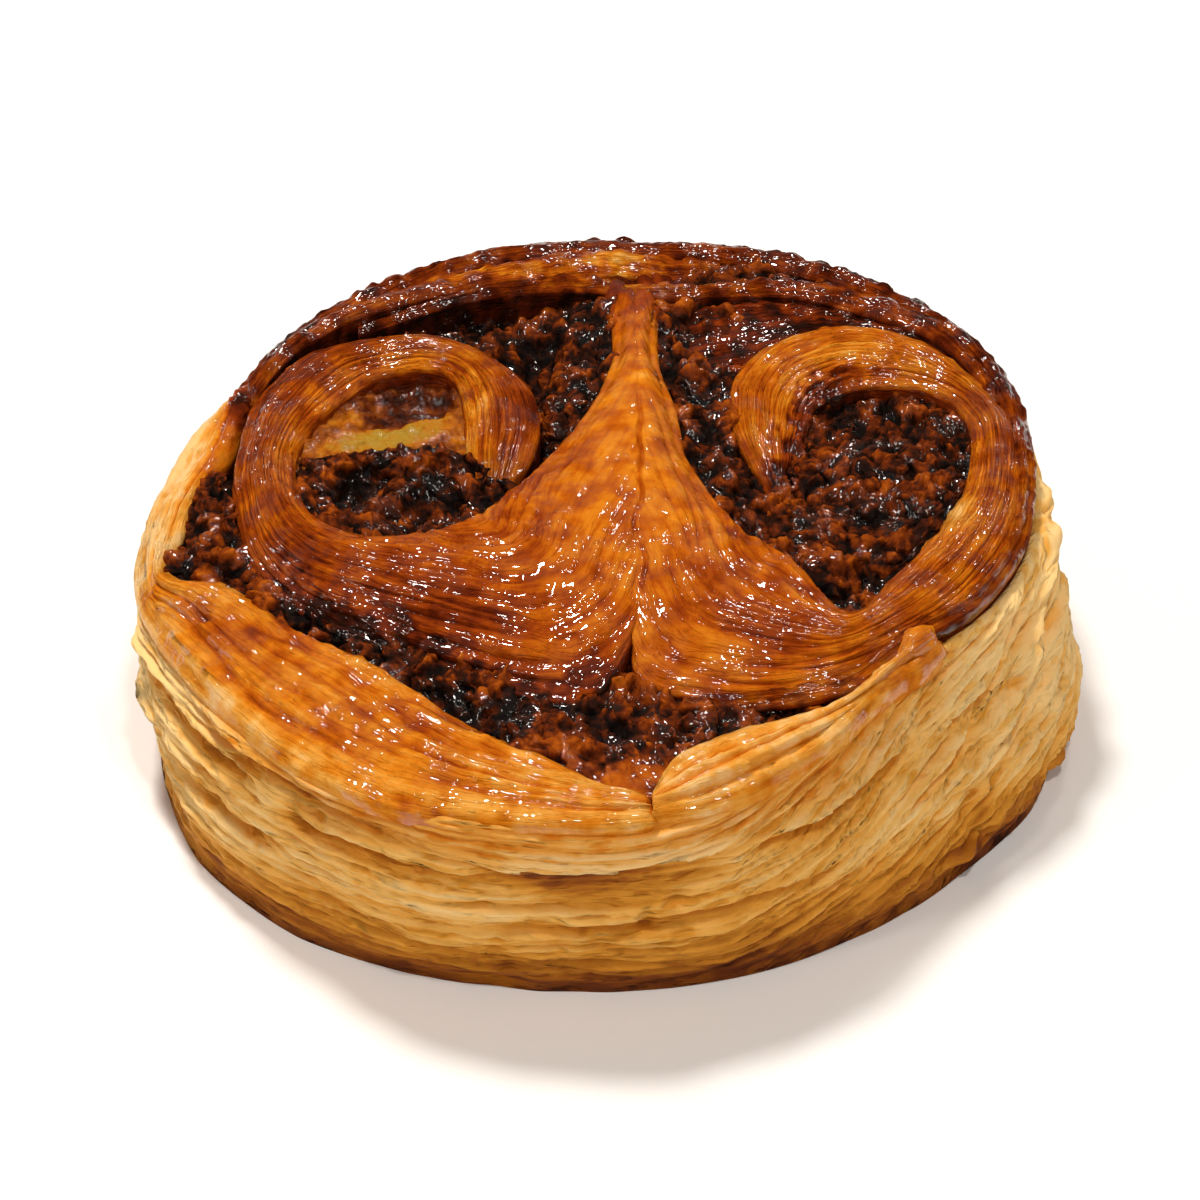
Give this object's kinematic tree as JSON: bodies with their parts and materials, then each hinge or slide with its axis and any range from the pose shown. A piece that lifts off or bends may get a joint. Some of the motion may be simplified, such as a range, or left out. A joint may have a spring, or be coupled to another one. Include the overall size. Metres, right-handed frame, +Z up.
{
  "type": "cinnamon roll",
  "caption": "Round laminated cinnamon roll with a flaky side wall, a glazed golden top of double scrolls that meet at a centre seam, and dark filling in the clefts.",
  "frame": {"origin": "centre of the roll's base, on the surface it rests on", "axes": "+Z up through the scrolls, -Y the front with the low fold and its notch, +X the side of the right scroll"},
  "size_m": [0.1127, 0.1096, 0.0349],
  "materials": {
    "dough": "satin",
    "filling": "gloss"
  },
  "bodies": {
    "root": {"dough": "dough", "filling_front": "filling", "filling_left_cleft": "filling", "filling_left_eye": "filling", "filling_right": "filling", "filling_back": "filling"}
  },
  "joints": []
}
